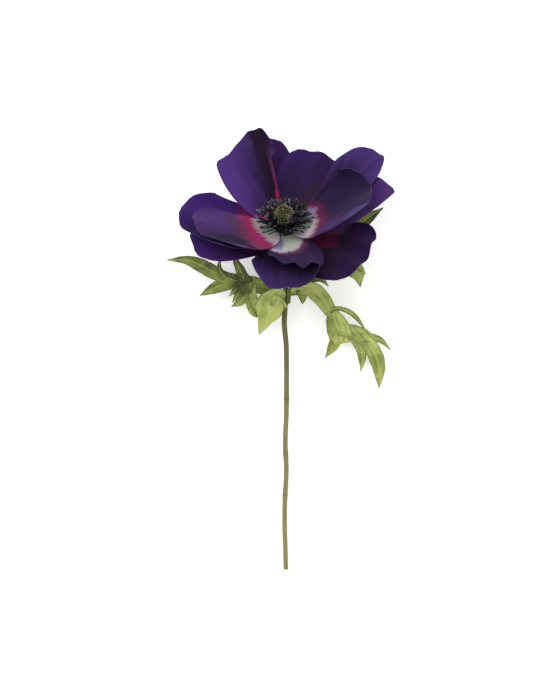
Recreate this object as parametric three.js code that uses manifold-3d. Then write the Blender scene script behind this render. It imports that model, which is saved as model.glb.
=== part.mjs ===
// A cut anemone, Anemone coronaria, lying on its side: a semi-double bloom of twelve petals, a ring of
// stamens round a domed carpel head, a thin bent stem, and an involucre of three deeply cut bracts below.
//
// Millimetres. The surface it lies on is z = 0. +Y runs from the stem's cut end to the bloom, +Z points up
// from the surface, and +X is to the right of someone who looks down on it with the bloom at the top. Shapes
// are worked out from the foot of the bloom's axis, and moved to the middle of the flower's box at the end.
import * as THREE from "three";
import { mergeVertices } from "three/addons/utils/BufferGeometryUtils.js";
import Module from "manifold-3d";

const wasm = await Module();
wasm.setup();

// Driving dimensions.
const bloomTilt = 45; // degrees from straight up to the bloom's axis, towards +Y
const bloomHeight = 33; // from the surface to the foot of the bloom's axis
const boxMiddle = [-2.5, -58.9]; // x and y of the middle of the flower's box, from the foot of that axis
const blade = 0.7; // thickness of petals and bracts
const clearance = 0.3; // between pieces that are joined in life
const receptacleRadius = 4.6;
const stemTopRadius = 1.35;
const stemCutRadius = 1.08;
const stemNodeSwell = 0.14; // how far the stem swells at its nodes
const headRadius = 4.1; // the carpel head

const violet = new THREE.MeshStandardMaterial({ color: 0x3d2466, roughness: 0.62, metalness: 0 });
const leafGreen = new THREE.MeshStandardMaterial({ color: 0x98a055, roughness: 0.6, metalness: 0 });
const stemGreen = new THREE.MeshStandardMaterial({ color: 0x7c7b48, roughness: 0.55, metalness: 0 });
const antherBlack = new THREE.MeshStandardMaterial({ color: 0x1b1a22, roughness: 0.7, metalness: 0 });
const carpelOlive = new THREE.MeshStandardMaterial({ color: 0x56573a, roughness: 0.8, metalness: 0 });

const radians = THREE.MathUtils.degToRad;
const lerp = THREE.MathUtils.lerp;
const vectors = (points) => points.map((point) => new THREE.Vector3(...point));
const smoothCurve = (points) => new THREE.CatmullRomCurve3(vectors(points), false, "centripetal");

// From the bloom's own frame, where its axis is +Z, to the flower's.
const bloomPlace = new THREE.Matrix4()
  .makeTranslation(0, 0, bloomHeight)
  .multiply(new THREE.Matrix4().makeRotationX(-radians(bloomTilt)));

// The value at t, from 0 to 1, of a smooth curve through evenly spaced values.
function valueAlong(values, t) {
  const place = t * (values.length - 1);
  const k = Math.min(Math.floor(place), values.length - 2);
  const f = place - k;
  const nearest = (i) => values[THREE.MathUtils.clamp(i, 0, values.length - 1)];
  const [a, b, c, d] = [k - 1, k, k + 1, k + 2].map(nearest);
  return b + 0.5 * f * (c - a + f * (2 * a - 5 * b + 4 * c - d + f * (3 * (b - c) + d - a)));
}

// ---- solids ----

// A closed sheet of even thickness round the surface pointAt(u, v), with u from -1 to 1 and v from 0 to 1.
// Both faces are split along the same diagonals.
function sheetGeometry(pointAt, across, along) {
  const step = 1e-3;
  const upper = [];
  const lower = [];
  for (let j = 0; j <= along; j++) {
    for (let i = 0; i <= across; i++) {
      const u = (2 * i) / across - 1;
      const v = j / along;
      const alongU = pointAt(Math.min(u + step, 1), v).sub(pointAt(Math.max(u - step, -1), v));
      const alongV = pointAt(u, Math.min(v + step, 1)).sub(pointAt(u, Math.max(v - step, 0)));
      const offset = alongU.cross(alongV).setLength(blade / 2);
      upper.push(pointAt(u, v).add(offset));
      lower.push(pointAt(u, v).sub(offset));
    }
  }
  const faces = [];
  const row = across + 1;
  const under = upper.length;
  for (let j = 0; j < along; j++) {
    for (let i = 0; i < across; i++) {
      const [a, b, c, d] = [j * row + i, j * row + i + 1, (j + 1) * row + i + 1, (j + 1) * row + i];
      faces.push(a, b, c, a, c, d);
      faces.push(under + a, under + c, under + b, under + a, under + d, under + c);
    }
  }
  const rim = [];
  for (let i = 0; i < across; i++) rim.push(i);
  for (let j = 0; j < along; j++) rim.push(j * row + across);
  for (let i = across; i > 0; i--) rim.push(along * row + i);
  for (let j = along; j > 0; j--) rim.push(j * row);
  rim.forEach((a, k) => {
    const b = rim[(k + 1) % rim.length];
    faces.push(under + a, under + b, b, under + a, b, a);
  });
  return new THREE.BufferGeometry().setFromPoints([...upper, ...lower]).setIndex(faces);
}

// A closed solid of regular sections, one at each point of a path, with a radius for each.
function rodGeometry(points, radii, sides) {
  const vertices = [];
  const faces = [];
  const normal = new THREE.Vector3(0, 0, 1);
  points.forEach((point, k) => {
    const before = points[Math.max(k - 1, 0)];
    const after = points[Math.min(k + 1, points.length - 1)];
    const tangent = after.clone().sub(before).normalize();
    if (Math.abs(tangent.dot(normal)) > 0.95) normal.set(1, 0, 0);
    normal.addScaledVector(tangent, -tangent.dot(normal)).normalize();
    const binormal = tangent.clone().cross(normal);
    for (let i = 0; i < sides; i++) {
      const angle = (2 * Math.PI * i) / sides;
      const vertex = point.clone().addScaledVector(normal, radii[k] * Math.cos(angle));
      vertices.push(vertex.addScaledVector(binormal, radii[k] * Math.sin(angle)));
    }
  });
  const last = (points.length - 1) * sides;
  for (let i = 0; i < sides; i++) {
    const j = (i + 1) % sides;
    for (let k = 0; k < last; k += sides) {
      faces.push(k + i, k + j, k + sides + j, k + i, k + sides + j, k + sides + i);
    }
    if (i > 0 && j > 0) faces.push(0, j, i, last, last + i, last + j);
  }
  return new THREE.BufferGeometry().setFromPoints(vertices).setIndex(faces);
}

// Closes a turned shell along its seam and at its poles, and stands it up along the bloom's axis.
function weld(shell) {
  shell.rotateX(Math.PI / 2);
  shell.deleteAttribute("normal");
  shell.deleteAttribute("uv");
  return mergeVertices(shell, 1e-4);
}

// A solid turned round the bloom's axis, from [radius, height] pairs that run up from the axis and back.
function turnedGeometry(profile, sides) {
  return weld(new THREE.LatheGeometry(profile.map((pair) => new THREE.Vector2(...pair)), sides));
}

function toSolid(geometry) {
  const merged = mergeVertices(geometry, 1e-4);
  const vertProperties = new Float32Array(merged.getAttribute("position").array);
  const triVerts = new Uint32Array(merged.getIndex().array);
  return new wasm.Manifold(new wasm.Mesh({ numProp: 3, vertProperties, triVerts }));
}

// One body made of geometries that run into each other.
function fuse(geometries) {
  const mesh = geometries.map(toSolid).reduce((sum, solid) => sum.add(solid)).getMesh();
  const position = new THREE.BufferAttribute(new Float32Array(mesh.vertProperties), 3);
  const index = new THREE.BufferAttribute(new Uint32Array(mesh.triVerts), 1);
  return new THREE.BufferGeometry().setAttribute("position", position).setIndex(index);
}

const flower = new THREE.Group();

// Adds one piece. What would sink a little into the surface is pressed flat on it.
function addPiece(name, geometry, material) {
  const position = geometry.getAttribute("position");
  for (let i = 0; i < position.count; i++) position.setZ(i, Math.max(position.getZ(i), 0));
  geometry.translate(-boxMiddle[0], -boxMiddle[1], 0);
  geometry.computeVertexNormals();
  const mesh = new THREE.Mesh(geometry, material);
  mesh.name = name;
  flower.add(mesh);
}

// ---- petals ----

// Each petal, seen from the tip of the bloom's axis, with angles in degrees and inner petals first:
//   azimuth  where it points, 0 at +X and 90 away from the stem
//   drop     how far down the axis it is seated
//   length
//   sides    half its width, to the left and to the right as one looks out along it
//   claw     its width at the seat
//   flare    how it widens above its claw, to the left and to the right: quickly under 1, slowly over it
//   rise     its midrib's slope above the bloom's plane, at the seat and at the tip
//   cup      how far its sides curl up
//   roll     how far its right side is raised
//   ruffle   the waves across its edge: how many half waves a side, their height, and their phase
//   end      how far its edge reaches, from left to right, as a share of its length
const petals = {
  petal_right_inner: {
    azimuth: -8, drop: 0, length: 46, sides: [26, 20], claw: 7, flare: [0.6, 0.6],
    rise: [22, 50], cup: 34, roll: 8, ruffle: [2, 1, 30],
    end: [0.5, 0.7, 0.86, 0.97, 1.04, 1.04, 0.9],
  },
  petal_left_inner: {
    azimuth: 206, drop: 0, length: 44, sides: [19, 14], claw: 8, flare: [0.5, 0.6],
    rise: [15, 32], cup: 25, roll: 0, ruffle: [2, 0.8, 0],
    end: [0.62, 0.84, 0.97, 1, 0.97, 0.86, 0.66],
  },
  petal_top_left: {
    azimuth: 114, drop: 0.9, length: 51, sides: [20, 12.5], claw: 7, flare: [0.6, 1.2],
    rise: [14, 26], cup: 30, roll: 0, ruffle: [2.5, 0.8, 0],
    end: [0.7, 0.76, 0.82, 0.94, 1.0, 0.98, 0.8],
  },
  petal_front_inner: {
    azimuth: 281, drop: 1.8, length: 32.5, sides: [12.5, 12], claw: 7, flare: [0.5, 0.6],
    rise: [15, 15], cup: 10, roll: 0, ruffle: [3, 1.2, 0],
    end: [0.78, 0.98, 1, 0.95, 0.8, 0.7, 0.52],
  },
  petal_right_upper: {
    azimuth: 34, drop: 1.2, length: 56, sides: [16, 9.5], claw: 6, flare: [1.4, 0.6],
    rise: [5, 30], cup: 20, roll: 0, ruffle: [2, 0.7, 0],
    end: [0.7, 0.88, 0.97, 1, 0.89, 0.66, 0.53],
  },
  petal_left_outer: {
    azimuth: 187, drop: 1.9, length: 47, sides: [18, 19], claw: 6, flare: [0.6, 0.4],
    rise: [6, 28], cup: 20, roll: 0, ruffle: [2, 0.8, 45],
    end: [0.6, 0.86, 0.97, 1, 0.93, 0.8, 0.6],
  },
  petal_right_outer: {
    azimuth: 14, drop: 2.66, length: 51, sides: [19, 7.5], claw: 6, flare: [0.6, 0.6],
    rise: [4, 25], cup: 12, roll: 0, ruffle: [1.5, 0.5, 0],
    end: [0.66, 0.84, 0.95, 1, 0.83, 0.62, 0.53],
  },
  petal_front: {
    azimuth: 271, drop: 2.9, length: 42, sides: [17, 15.5], claw: 6, flare: [0.6, 0.6],
    rise: [8, 8], cup: 15, roll: -4, ruffle: [2, 0.7, 90],
    end: [0.5, 0.82, 0.96, 1, 0.93, 0.7, 0.5],
  },
  petal_top: {
    azimuth: 70, drop: 3.41, length: 48, sides: [16, 21], claw: 6, flare: [0.6, 0.6],
    rise: [3, 13.5], cup: 10, roll: -10, ruffle: [3, 0.9, 60],
    end: [0.76, 0.9, 0.97, 1.02, 0.99, 1.03, 0.9],
  },
  petal_left_lower: {
    azimuth: 205, drop: 3.7, length: 41, sides: [10.5, 17], claw: 6, flare: [0.2, 0.6],
    rise: [2, 12], cup: 12, roll: 5, ruffle: [2, 0.6, 0],
    end: [0.62, 0.84, 0.95, 1, 0.97, 0.86, 0.6],
  },
  petal_right_lower: {
    azimuth: 327, drop: 3.8, length: 39, sides: [23.5, 21], claw: 6, flare: [0.6, 0.6],
    rise: [0, 6], cup: 10, roll: 0, ruffle: [3, 0.9, 0],
    end: [0.7, 0.87, 0.94, 1, 0.97, 0.92, 0.7],
  },
  petal_top_outer: {
    azimuth: 106, drop: 4.76, length: 54, sides: [15, 17], claw: 6, flare: [0.6, 0.6],
    rise: [1, 28.5], cup: 4, roll: 0, ruffle: [2, 0.4, 0],
    end: [0.6, 0.86, 0.97, 1, 0.97, 0.88, 0.62],
  },
};
const petalCells = 11; // each way

// A petal's middle surface: a flat spade, bent along its midrib, then curled, rolled and ruffled across it.
function petalPoint(petal, u, v) {
  const { azimuth, drop, length, sides, claw, flare, rise, cup, roll, ruffle, end } = petal;
  const side = u < 0 ? 0 : 1;
  const half = lerp(claw / 2, sides[side], Math.sin((Math.PI / 2) * v ** flare[side]));
  const across = Math.sin((Math.PI / 2) * u); // -1 to 1, with narrower cells near the edges
  const x = half * across;
  const y = v * length * lerp(1, valueAlong(end, (u + 1) / 2), v);

  const [low, high] = rise.map(radians);
  const bend = (high - low) / length;
  const slope = low + bend * y;
  const out = bend === 0 ? y * Math.cos(low) : (Math.sin(slope) - Math.sin(low)) / bend;
  const up = bend === 0 ? y * Math.sin(low) : (Math.cos(low) - Math.cos(slope)) / bend;

  const curl = Math.max((radians(cup) * v * 2) / (sides[0] + sides[1]), 1e-6);
  const tilt = radians(roll) * Math.sin((Math.PI / 2) * v ** 0.6);
  const bow = Math.sin(curl * x) / curl;
  const lip = (1 - Math.cos(curl * x)) / curl;
  const [waves, height, phase] = ruffle;
  const wave = height * v ** 3 * Math.sin(Math.PI * waves * across + radians(phase));
  const lift = lip * Math.cos(tilt) + bow * Math.sin(tilt) + wave;
  const sideways = bow * Math.cos(tilt) - lip * Math.sin(tilt);

  const seat = receptacleRadius + clearance;
  const point = new THREE.Vector3(
    seat + out - lift * Math.sin(slope),
    -sideways,
    up + lift * Math.cos(slope) - drop,
  );
  return point.applyAxisAngle(new THREE.Vector3(0, 0, 1), radians(azimuth));
}

for (const [name, petal] of Object.entries(petals)) {
  const geometry = sheetGeometry((u, v) => petalPoint(petal, u, v), petalCells, petalCells);
  addPiece(name, geometry.applyMatrix4(bloomPlace), violet);
}

// ---- stem, with the receptacle that carries the bloom ----

const stemCurve = smoothCurve([
  [0, -4.4, 28.6],
  [0, -9, 24],
  [0.3, -18, 17.4],
  [1, -31.5, 12],
  [0.2, -45.5, 9.9],
  [1.1, -56, 8.8],
  [1.3, -73, 7.2],
  [1.2, -89, 5.9],
  [0.7, -104, 4.8],
  [1.2, -117.5, 3.8],
  [0.5, -131.5, 2.8],
  [0.4, -144.5, 2],
  [0.7, -154.5, 1.5],
  [1, -165.5, 1],
]);
const stemNodes = [0.5, 0.66, 0.78]; // shares of its length
const stemSteps = 36;
const receptacleProfile = [
  [0, -9],
  [1.4, -9],
  [2.2, -7.6],
  [4.1, -6.2],
  [receptacleRadius, -5.3],
  [receptacleRadius, 0.9],
  [4.2, 1.5],
  [0, 1.5],
];

function stemRadius(share) {
  const swell = stemNodes.reduce((sum, at) => sum + Math.exp(-(((share - at) / 0.012) ** 2)), 0);
  return lerp(stemTopRadius, stemCutRadius, share) + stemNodeSwell * swell;
}

const stemPoints = stemCurve.getSpacedPoints(stemSteps);
const stemRod = rodGeometry(stemPoints, stemPoints.map((_, k) => stemRadius(k / stemSteps)), 10);
const receptacle = turnedGeometry(receptacleProfile, 24).applyMatrix4(bloomPlace);
addPiece("stem", fuse([stemRod, receptacle]), stemGreen);

// ---- carpel head ----

// Its carpels stand side by side in a lattice, every second point of it raised into a blunt tip.
const headRings = 17;
const headSides = 34;
const headFoot = 1.8; // heights along the bloom's axis
const headTop = 10.6;
const carpelRelief = 0.05; // half the height of a carpel's tip, as a share of the head's radius there

const headProfile = Array.from({ length: headRings }, (_, ring) => {
  const angle = (Math.PI * ring) / (headRings - 1);
  const radius = headRadius * Math.sin(angle) ** 0.8 * (1 - 0.16 * Math.cos(angle));
  return [ring % (headRings - 1) === 0 ? 0 : radius, lerp(headFoot, headTop, (1 - Math.cos(angle)) / 2)];
});
const headPoints = headProfile.map((pair) => new THREE.Vector2(...pair));
const headShell = new THREE.LatheGeometry(headPoints, headSides);
const headPosition = headShell.getAttribute("position");
for (let i = 0; i < headPosition.count; i++) {
  const ring = i % headRings;
  const side = Math.floor(i / headRings);
  const relief = 1 + ((ring + side) % 2 === 0 ? carpelRelief : -carpelRelief);
  headPosition.setX(i, headPosition.getX(i) * relief);
  headPosition.setZ(i, headPosition.getZ(i) * relief);
}
addPiece("carpel_head", weld(headShell).applyMatrix4(bloomPlace), carpelOlive);

// ---- stamens ----

let seed = 7;
function jitter(amount) {
  seed = (seed * 16807) % 2147483647;
  return amount * ((2 * seed) / 2147483647 - 1);
}

// Each ring: how many, and the [radius, height] at which they bend and at which they end.
const stamenRings = [
  { count: 20, bend: [5.9, 5.2], tip: [7.4, 8.8] },
  { count: 22, bend: [7, 4.8], tip: [10.6, 8.2] },
  { count: 24, bend: [8.2, 4], tip: [13.8, 6.8] },
];
const stamenFoot = [3.9, 2.2];
const stamenStations = [0, 0.4, 0.78, 0.82, 0.96, 1]; // the anther is the last three
const stamenRadii = [0.3, 0.28, 0.28, 0.5, 0.5, 0.25];

function stamenGeometry({ count, bend, tip }, place) {
  const turn = (2 * Math.PI * (place + 0.5 + jitter(0.25))) / count;
  const swing = jitter(0.05);
  const reach = 1 + jitter(0.06);
  const height = tip[1] + jitter(0.5);
  const at = (radius, z, angle) => new THREE.Vector3(radius * Math.cos(angle), radius * Math.sin(angle), z);
  const curve = new THREE.QuadraticBezierCurve3(
    at(...stamenFoot, turn),
    at(...bend, turn),
    at(tip[0] * reach, height, turn + swing),
  );
  return rodGeometry(stamenStations.map((t) => curve.getPoint(t)), stamenRadii, 3);
}

const stamenBand = turnedGeometry([[3.5, 1.8], [4.35, 1.8], [4.35, 2.6], [3.5, 2.6], [3.5, 1.8]], 24);
const stamens = stamenRings.flatMap((ring) =>
  Array.from({ length: ring.count }, (_, place) => stamenGeometry(ring, place)),
);
addPiece("stamens", fuse([stamenBand, ...stamens]).applyMatrix4(bloomPlace), antherBlack);

// ---- bracts ----

// Each bract: clasp, the stretch of the stem's girth that it holds, in degrees with 0 at +X and 90 at +Z, and
// its lobes, each with the points of its midrib and half its width at even steps along it.
const bracts = {
  bract_left: {
    clasp: [92, 205],
    lobes: [
      {
        rib: [
          [-1.2, -31.5, 12.6], [-10.5, -28, 13.5], [-17.5, -26.5, 14.5], [-29, -23.5, 15], [-40.5, -17.5, 12],
          [-47, -15, 8], [-57, -14.5, 0.2],
        ],
        half: [1.5, 3.2, 4, 3.6, 3, 3.4, 3.2, 2.4, 1.3, 0.3],
      },
      {
        rib: [[-28, -24, 15], [-31, -19.5, 17], [-30.5, -14.5, 17.5]],
        half: [2, 1.4, 0.3],
      },
      {
        rib: [[-18.5, -26, 14.5], [-21, -20, 17], [-23, -15.5, 19], [-22, -10, 20]],
        half: [3.4, 2.6, 2, 1.2, 0.3],
      },
      {
        rib: [[-22, -25.5, 15], [-30.5, -27.5, 13.5], [-35.5, -29.5, 10], [-41, -32, 4]],
        half: [2.6, 3.2, 2.8, 1.7, 0.3],
      },
      {
        rib: [[-20, -25.5, 15], [-23.5, -29.5, 13], [-26.5, -32.5, 9]],
        half: [1.8, 1.4, 0.3],
      },
      {
        rib: [[-18.5, -26, 14.5], [-22, -31, 12], [-25, -35.5, 7]],
        half: [1.8, 1.5, 0.3],
      },
      {
        rib: [[-16.5, -26.5, 14.5], [-18.5, -31.5, 14], [-21, -35, 12], [-25.5, -37.5, 8]],
        half: [2.4, 2.7, 2, 0.3],
      },
      {
        rib: [[-16, -27, 14.5], [-16, -32.5, 15], [-14, -38.5, 14], [-10, -43, 11]],
        half: [2.6, 3, 3.4, 3, 0.6],
      },
      {
        rib: [
          [0.2, -31.2, 14.2], [-3.5, -32.5, 15.6], [-6.5, -37, 16.3], [-8, -41, 15], [-9.5, -45, 13],
          [-12, -51, 9],
        ],
        half: [2, 4.2, 6.6, 6.2, 3.6, 2, 0.4],
      },
      {
        rib: [[-5.5, -34, 16], [-1.5, -36, 15.8], [2, -38, 14.4]],
        half: [2.6, 2.2, 0.4],
      },
    ],
  },
  bract_right: {
    clasp: [-20, 80],
    lobes: [
      {
        rib: [
          [2.9, -31, 13], [7.5, -29.5, 15], [13, -29.5, 15.5], [18, -33.5, 15], [21.5, -38.5, 13.5],
          [24, -42, 12.6],
        ],
        half: [1.6, 2.8, 3.8, 4.1, 3.6, 2.6],
      },
      {
        rib: [[8, -29.5, 15], [9, -32.5, 14.5], [9, -36.5, 12]],
        half: [2.4, 2, 0.3],
      },
      {
        rib: [[23, -39.5, 12.9], [25, -45, 12], [27, -50.5, 10.5], [28, -55.5, 9]],
        half: [2.6, 4.4, 5.6, 5.4, 3.8],
      },
      {
        rib: [[26.5, -51, 10.4], [23.5, -57, 8], [20, -62.5, 5]],
        half: [3, 2.4, 0.3],
      },
      {
        rib: [[22.5, -39.5, 13.2], [26, -38.5, 14.5], [30, -39.5, 14.5], [34, -42, 12.5], [39, -48, 8]],
        half: [1.1, 1.1, 1.3, 1, 0.3],
      },
      {
        rib: [[26.5, -49, 10.8], [33, -49.5, 10.5], [38.5, -52, 9], [43, -55, 7.5]],
        half: [2.8, 3.4, 3.8, 2.8],
      },
      {
        rib: [[38.5, -52, 9], [46.5, -53.5, 6.5], [52, -58.5, 2.5]],
        half: [2.4, 1.5, 0.3],
      },
      {
        rib: [[37.5, -51.5, 9.2], [43, -58.5, 8], [46, -66.5, 5], [46.5, -77, 0.2]],
        half: [3, 3.7, 3.6, 2.4, 0.3],
      },
      {
        rib: [[32, -49.5, 10.5], [37, -56.5, 8], [38, -63.5, 5], [37.5, -69, 2.2]],
        half: [2.8, 3, 2, 0.3],
      },
    ],
  },
  bract_back: {
    clasp: [215, 320],
    lobes: [
      {
        rib: [
          [2.4, -31.2, 9.9], [10, -24.5, 9.5], [20, -16, 11], [29.5, -5.5, 15], [37.5, 2.5, 18.5],
          [43, 6.5, 20.5], [47.5, 9.5, 21.5],
        ],
        half: [1.6, 3, 4, 4.4, 4.2, 3.8, 2.8, 0.3],
      },
      {
        rib: [[20, -16, 11], [29.5, -17, 13], [35, -21, 13], [37, -28, 10]],
        half: [3, 4.8, 4, 0.3],
      },
      {
        rib: [[31, -17.5, 13], [36, -18.5, 13.5], [39.5, -22, 12]],
        half: [2.2, 1.8, 0.3],
      },
      {
        rib: [[10, -24.5, 9.5], [17.5, -24, 10], [21.5, -27.5, 8]],
        half: [2, 1.8, 0.3],
      },
    ],
  },
};
const bractFold = 0.25; // how far a lobe's sides rise from its midrib, as a share of their width
const claspShares = [0.222, 0.18]; // shares of the stem's length between which the bracts clasp it

// A lobe lies level across, with its upper face to +Z.
function lobeGeometry({ rib, half }) {
  const curve = smoothCurve(rib);
  const pointAt = (u, v) => {
    const tangent = curve.getTangentAt(THREE.MathUtils.clamp(v, 0.001, 0.999));
    const side = tangent.clone().cross(new THREE.Vector3(0, 0, 1)).normalize();
    const up = side.clone().cross(tangent);
    const reach = u * valueAlong(half, v);
    return curve.getPointAt(v).addScaledVector(side, reach).addScaledVector(up, bractFold * Math.abs(reach));
  };
  return sheetGeometry(pointAt, 2, Math.max(4, Math.ceil(curve.getLength() / 4)));
}

function claspGeometry([from, to]) {
  const pointAt = (u, v) => {
    const angle = radians(lerp(from, to, (u + 1) / 2));
    const radius = stemTopRadius + clearance + blade / 2 + 0.6 * v * v;
    const around = new THREE.Vector3(radius * Math.cos(angle), 0, radius * Math.sin(angle));
    return stemCurve.getPointAt(lerp(...claspShares, v)).add(around);
  };
  return sheetGeometry(pointAt, Math.ceil((to - from) / 22), 3);
}

for (const [name, { clasp, lobes }] of Object.entries(bracts)) {
  addPiece(name, fuse([claspGeometry(clasp), ...lobes.map(lobeGeometry)]), leafGreen);
}

export default flower;
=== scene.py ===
import math

import bpy
from mathutils import Matrix, Vector, noise
from mathutils.kdtree import KDTree


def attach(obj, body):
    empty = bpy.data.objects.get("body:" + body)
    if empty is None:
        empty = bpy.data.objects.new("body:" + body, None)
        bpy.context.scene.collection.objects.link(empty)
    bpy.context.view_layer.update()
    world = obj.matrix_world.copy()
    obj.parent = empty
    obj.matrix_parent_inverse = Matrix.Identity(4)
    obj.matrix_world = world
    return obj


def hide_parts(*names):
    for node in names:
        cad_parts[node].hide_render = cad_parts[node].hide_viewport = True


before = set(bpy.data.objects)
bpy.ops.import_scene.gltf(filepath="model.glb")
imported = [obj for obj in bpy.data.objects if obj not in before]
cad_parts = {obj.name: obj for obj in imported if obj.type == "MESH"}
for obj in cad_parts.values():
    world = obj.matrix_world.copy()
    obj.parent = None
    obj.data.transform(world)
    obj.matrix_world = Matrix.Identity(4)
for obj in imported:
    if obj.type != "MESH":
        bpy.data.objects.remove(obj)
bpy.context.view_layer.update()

mm = 0.001
bloom = {
    "tilt": 45,  # degrees from straight up to the bloom's axis, towards the top of the view
    "foot": Vector((2.5, 58.9, 33)),  # the foot of the bloom's axis
    "seatRadius": 4.9,  # how far from the axis the petals start
}
bloomPlace = Matrix.Translation(bloom["foot"]) @ Matrix.Rotation(-math.radians(bloom["tilt"]), 4, "X")
stemPlace = Matrix.Translation((bloom["foot"].x, bloom["foot"].y, 0))  # stem and bracts count from here


def lerp(a, b, t):
    return a + (b - a) * t


def smooth(low, high, x):
    t = min(max((x - low) / (high - low), 0), 1)
    return t * t * (3 - 2 * t)


def valueAlong(values, t):  # a smooth curve through evenly spaced values
    place = t * (len(values) - 1)
    k = min(int(place), len(values) - 2)
    f = place - k
    a, b, c, d = (values[min(max(i, 0), len(values) - 1)] for i in (k - 1, k, k + 1, k + 2))
    return b + 0.5 * f * (c - a + f * (2 * a - 5 * b + 4 * c - d + f * (3 * (b - c) + d - a)))


def rgb(*colour):  # red, green and blue as a paint program gives them, 0 to 255
    linear = [((c / 255 + 0.055) / 1.055) ** 2.4 if c > 10 else c / 3295 for c in colour]
    return (*linear, 1)


def ripple(x, y, z):
    return noise.noise(Vector((x, y, z)))


class Path:  # a smooth curve through points, read by its share of the length
    def __init__(self, points, cells=24):
        knots = [Vector(p) for p in points]
        knots = [2 * knots[0] - knots[1], *knots, 2 * knots[-1] - knots[-2]]
        self.points = [knots[1]]
        for a, b, c, d in zip(knots, knots[1:], knots[2:], knots[3:]):
            gaps = [max((q - p).length, 1e-4) ** 0.5 for p, q in ((a, b), (b, c), (c, d))]
            early = ((b - a) / gaps[0] - (c - a) / (gaps[0] + gaps[1]) + (c - b) / gaps[1]) * gaps[1]
            late = ((c - b) / gaps[1] - (d - b) / (gaps[1] + gaps[2]) + (d - c) / gaps[2]) * gaps[1]
            for k in range(1, cells + 1):
                t = k / cells
                self.points.append(
                    b + t * early + t**2 * (3 * (c - b) - 2 * early - late)
                    + t**3 * (2 * (b - c) + early + late)
                )
        self.run = [0.0]
        for p, q in zip(self.points, self.points[1:]):
            self.run.append(self.run[-1] + (q - p).length)
        self.length = self.run[-1]

    def at(self, share):
        goal = min(max(share, 0), 1) * self.length
        k = next((i for i in range(1, len(self.run)) if self.run[i] >= goal), len(self.run) - 1)
        t = (goal - self.run[k - 1]) / max(self.run[k] - self.run[k - 1], 1e-9)
        return self.points[k - 1].lerp(self.points[k], t)

    def heading(self, share):
        return (self.at(min(share + 0.01, 1)) - self.at(max(share - 0.01, 0))).normalized()


class Signal:  # a node's output; sums written with it add Math nodes
    def __init__(self, nodes, socket):
        self.nodes = nodes
        self.socket = socket

    def __add__(self, other):
        return self.nodes.maths("ADD", self, other)

    def __sub__(self, other):
        return self.nodes.maths("SUBTRACT", self, other)

    def __rsub__(self, other):
        return self.nodes.maths("SUBTRACT", other, self)

    def __mul__(self, other):
        return self.nodes.maths("MULTIPLY", self, other)

    def __truediv__(self, other):
        return self.nodes.maths("DIVIDE", self, other)

    def __pow__(self, other):
        return self.nodes.maths("POWER", self, other)

    def __abs__(self):
        return self.nodes.maths("ABSOLUTE", self)

    __radd__ = __add__
    __rmul__ = __mul__


class Nodes:  # a node tree
    def __init__(self, tree):
        self.tree = tree

    def node(self, kind, sockets=None, settings=None, out=0):
        made = self.tree.nodes.new(kind)
        for key, value in (settings or {}).items():
            setattr(made, key, value)
        for key, value in (sockets or {}).items():
            if isinstance(value, Signal):
                self.tree.links.new(value.socket, made.inputs[key])
            else:
                made.inputs[key].default_value = value
        return Signal(self, made.outputs[out]) if out is not None else made

    def maths(self, operation, *values):
        return self.node("ShaderNodeMath", dict(enumerate(values)), {"operation": operation})

    def vector(self, x, y, z):
        return self.node("ShaderNodeCombineXYZ", {0: x, 1: y, 2: z})

    def parts(self, vector):
        made = self.node("ShaderNodeSeparateXYZ", {0: vector}, out=None)
        return [Signal(self, socket) for socket in made.outputs]


class Paint(Nodes):  # a material
    def __init__(self, name):
        self.material = bpy.data.materials.new(name)
        self.material.use_nodes = True
        super().__init__(self.material.node_tree)
        self.tree.nodes.clear()

    def mark(self, name):  # a number that the mesh carries
        return self.node("ShaderNodeAttribute", settings={"attribute_name": name}, out="Fac")

    def place(self):
        return self.node("ShaderNodeTexCoord", out="Object")

    def cloud(self, where, scale, detail=2.0, rough=0.5):  # soft noise from 0 to 1
        sockets = {"Vector": where, "Scale": scale, "Detail": detail, "Roughness": rough}
        return self.node("ShaderNodeTexNoise", sockets, out="Fac")

    def step(self, value, low, high):  # 0 at low, 1 at high, eased between
        sockets = {"Value": value, "From Min": low, "From Max": high}
        return self.node("ShaderNodeMapRange", sockets, {"interpolation_type": "SMOOTHSTEP"})

    def mix(self, share, first, second):
        first, second = (c if isinstance(c, Signal) else rgb(*c) for c in (first, second))
        return self.node("ShaderNodeMix", {0: share, 6: first, 7: second}, {"data_type": "RGBA"}, out=2)

    def finish(self, colour, roughness, relief, depth, constants):
        bump = self.node("ShaderNodeBump", {"Height": relief, "Distance": depth * mm, "Strength": 1})
        sockets = {"Base Color": colour, "Roughness": roughness, "Normal": bump, **constants}
        shader = self.node("ShaderNodeBsdfPrincipled", sockets)
        self.node("ShaderNodeOutputMaterial", {"Surface": shader}, out=None)
        return self.material


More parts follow.
